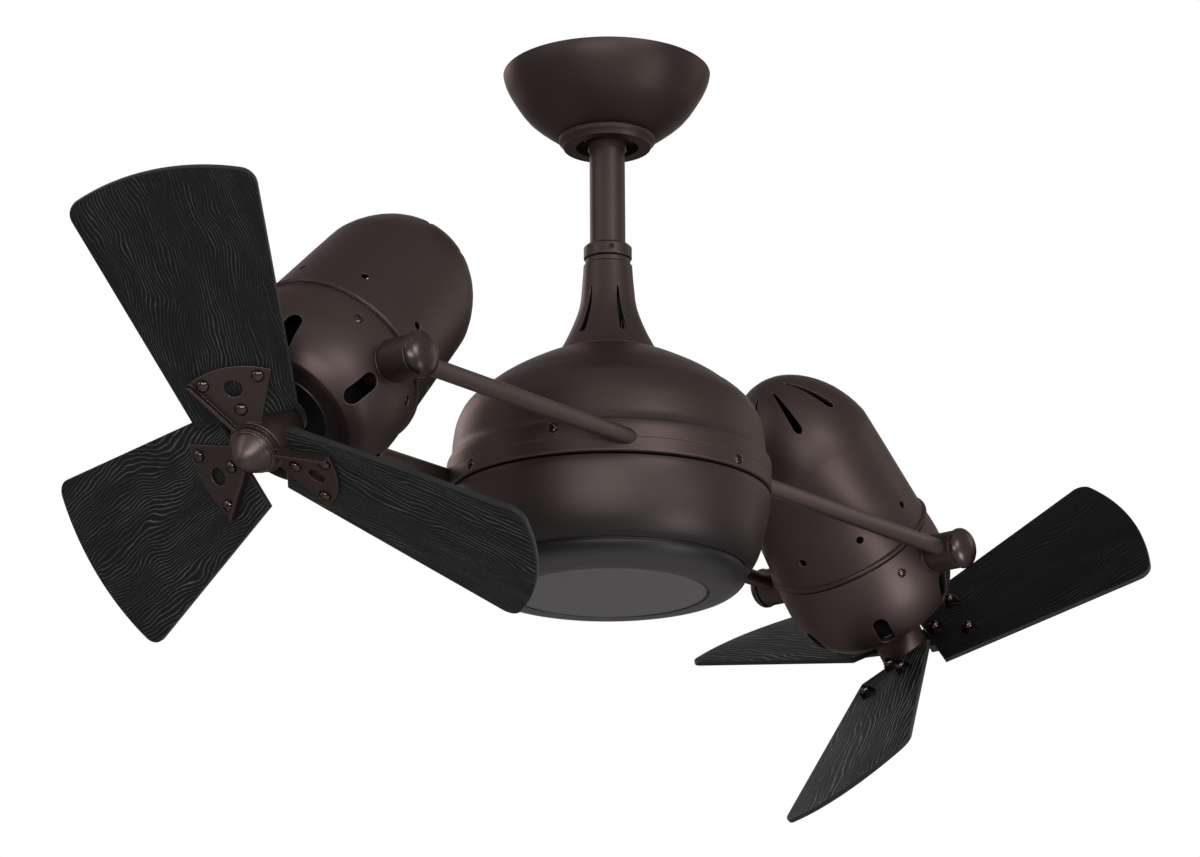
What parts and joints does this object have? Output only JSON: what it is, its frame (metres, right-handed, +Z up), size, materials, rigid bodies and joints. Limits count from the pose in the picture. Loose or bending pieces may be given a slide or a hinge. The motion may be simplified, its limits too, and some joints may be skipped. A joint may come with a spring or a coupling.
{
  "type": "twin head ceiling fan",
  "caption": "Ceiling fan whose tilting motor heads ride on level tubes that turn round a bowl-shaped housing under a short downrod.",
  "frame": {"origin": "centre of the ceiling plate's slot pattern, on the ceiling plane", "axes": "+Z up into the ceiling, +X along the level tubes towards the right head"},
  "size_m": [1.024, 0.3954, 0.5371],
  "materials": {
    "bronze": "satin dark bronze powder coat",
    "bowl_bronze": "satin dark bronze, a little greyer",
    "blades": "charcoal black with embossed open grain",
    "plain_steel": "zinc plated",
    "bright_steel": "ground",
    "fasteners": "bronze plated, glossy",
    "ball_plastic": "black moulded",
    "contact_brass": "turned",
    "cast_carrier": "as cast",
    "motor_black": "black paint"
  },
  "bodies": {
    "ceiling_mount": {"ceiling_bracket": "plain_steel", "canopy": "bronze", "canopy_screws": "plain_steel", "cover_ring": "bronze"},
    "hanger": {"hanger_ball": "ball_plastic", "downrod": "bronze", "collar": "bronze", "collar_screw": "fasteners", "rod_pins": "plain_steel", "spindle": "plain_steel", "slip_ring": "contact_brass", "bowl_plate": "plain_steel", "bowl_screws": "plain_steel", "spindle_nut": "plain_steel", "bowl": "bowl_bronze", "bottom_disc": "bowl_bronze"},
    "turntable": {"neck_cover": "bronze", "dome": "bronze", "band_ring": "bronze", "band_screws": "fasteners", "carrier": "cast_carrier", "spindle_bearings": "bright_steel", "near_tube": "bronze", "far_tube": "bronze", "left_near_barrel": "bronze", "left_far_barrel": "bronze", "right_near_barrel": "bronze", "right_far_barrel": "bronze", "left_near_cap": "bronze", "left_far_cap": "bronze", "right_near_cap": "bronze", "right_far_cap": "bronze"},
    "head_left": {"left_rear_cover": "bronze", "left_front_shell": "bronze", "left_stator": "motor_black", "left_motor_bearing": "bright_steel", "left_shell_screws": "fasteners", "left_pivot_bolts": "bright_steel"},
    "rotor_left": {"left_shaft": "bright_steel", "left_spider": "bronze", "left_blade_a": "blades", "left_blade_b": "blades", "left_blade_c": "blades", "left_blade_screws": "fasteners", "left_blade_nuts": "fasteners", "left_spinner": "bronze"},
    "head_right": {"right_rear_cover": "bronze", "right_front_shell": "bronze", "right_stator": "motor_black", "right_motor_bearing": "bright_steel", "right_shell_screws": "fasteners", "right_pivot_bolts": "bright_steel"},
    "rotor_right": {"right_shaft": "bright_steel", "right_spider": "bronze", "right_blade_a": "blades", "right_blade_b": "blades", "right_blade_c": "blades", "right_blade_screws": "fasteners", "right_blade_nuts": "fasteners", "right_spinner": "bronze"}
  },
  "joints": [
    {"name": "ball_swing", "type": "hinge", "parent": "ceiling_mount", "child": "hanger", "pos_m": [0, 0, -0.038], "axis": [0, 1, 0], "range_deg": [-15, 15]},
    {"name": "fan_turn", "type": "hinge", "parent": "hanger", "child": "turntable", "pos_m": [0, 0, -0.322], "axis": [0, 0, 1], "continuous": true},
    {"name": "head_left_tilt", "type": "hinge", "parent": "turntable", "child": "head_left", "pos_m": [-0.321, 0, -0.322], "axis": [0, 1, 0], "range_deg": [-37.3, 136.7]},
    {"name": "head_right_tilt", "type": "hinge", "parent": "turntable", "child": "head_right", "pos_m": [0.321, 0, -0.322], "axis": [0, -1, 0], "range_deg": [-39.5, 134.5]},
    {"name": "rotor_left_spin", "type": "hinge", "parent": "head_left", "child": "rotor_left", "pos_m": [-0.321, 0, -0.322], "axis": [-0.6858, 0, -0.7278], "continuous": true},
    {"name": "rotor_right_spin", "type": "hinge", "parent": "head_right", "child": "rotor_right", "pos_m": [0.321, 0, -0.322], "axis": [0.7133, 0, -0.7009], "continuous": true}
  ]
}
